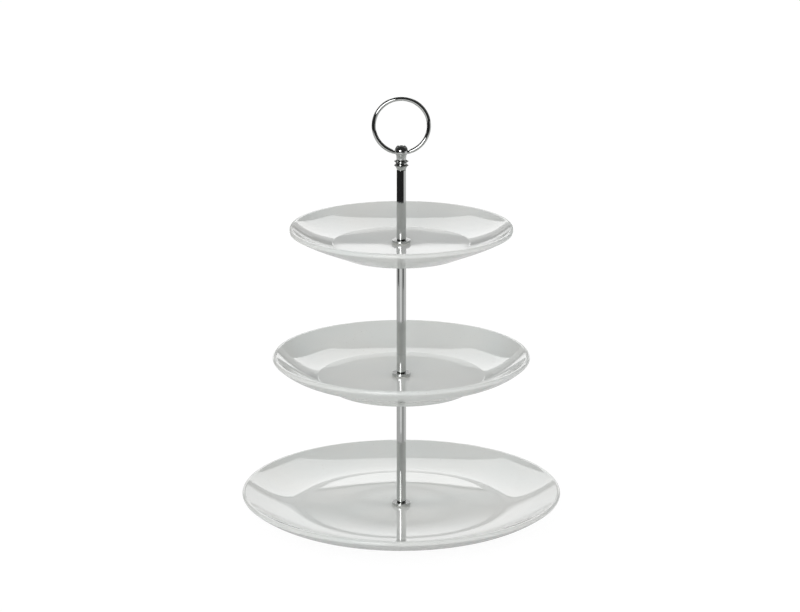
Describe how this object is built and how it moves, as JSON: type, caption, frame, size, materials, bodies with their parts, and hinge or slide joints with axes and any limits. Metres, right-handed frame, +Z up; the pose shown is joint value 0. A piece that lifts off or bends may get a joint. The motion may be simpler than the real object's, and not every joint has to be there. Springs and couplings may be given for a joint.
{
  "type": "tiered cake stand",
  "caption": "Tiered cake stand: round glazed plates of falling size on a bright central rod, with a turned finial and a tilting wire carrying ring.",
  "frame": {"origin": "centre of the circle that the large plate's foot ring stands on, at table height", "axes": "+Z up along the rod; the upright ring lies in the XZ plane and faces -Y"},
  "size_m": [0.27, 0.27, 0.3642],
  "materials": {
    "glaze": "white glossy glaze",
    "chrome": "bright chrome plate",
    "fixing": "zinc-plated steel, satin",
    "pad": "translucent white soft washer, matt"
  },
  "bodies": {
    "stand": {"large_plate": "glaze", "medium_plate": "glaze", "small_plate": "glaze", "lower_rod": "chrome", "middle_rod": "chrome", "upper_rod": "chrome", "lower_stud": "fixing", "upper_stud": "fixing", "base_screw": "fixing", "base_washer": "fixing", "large_collar": "chrome", "medium_collar": "chrome", "small_collar": "chrome", "medium_washer": "fixing", "small_washer": "fixing", "large_upper_pad": "pad", "large_lower_pad": "pad", "medium_upper_pad": "pad", "medium_lower_pad": "pad", "small_upper_pad": "pad", "small_lower_pad": "pad", "finial": "chrome"},
    "ring": {"ring": "chrome"}
  },
  "joints": [
    {"name": "ring_tilt", "type": "hinge", "parent": "stand", "child": "ring", "pos_m": [0, 0, 0.3177], "axis": [1, 0, 0], "range_deg": [-172, 172]}
  ]
}
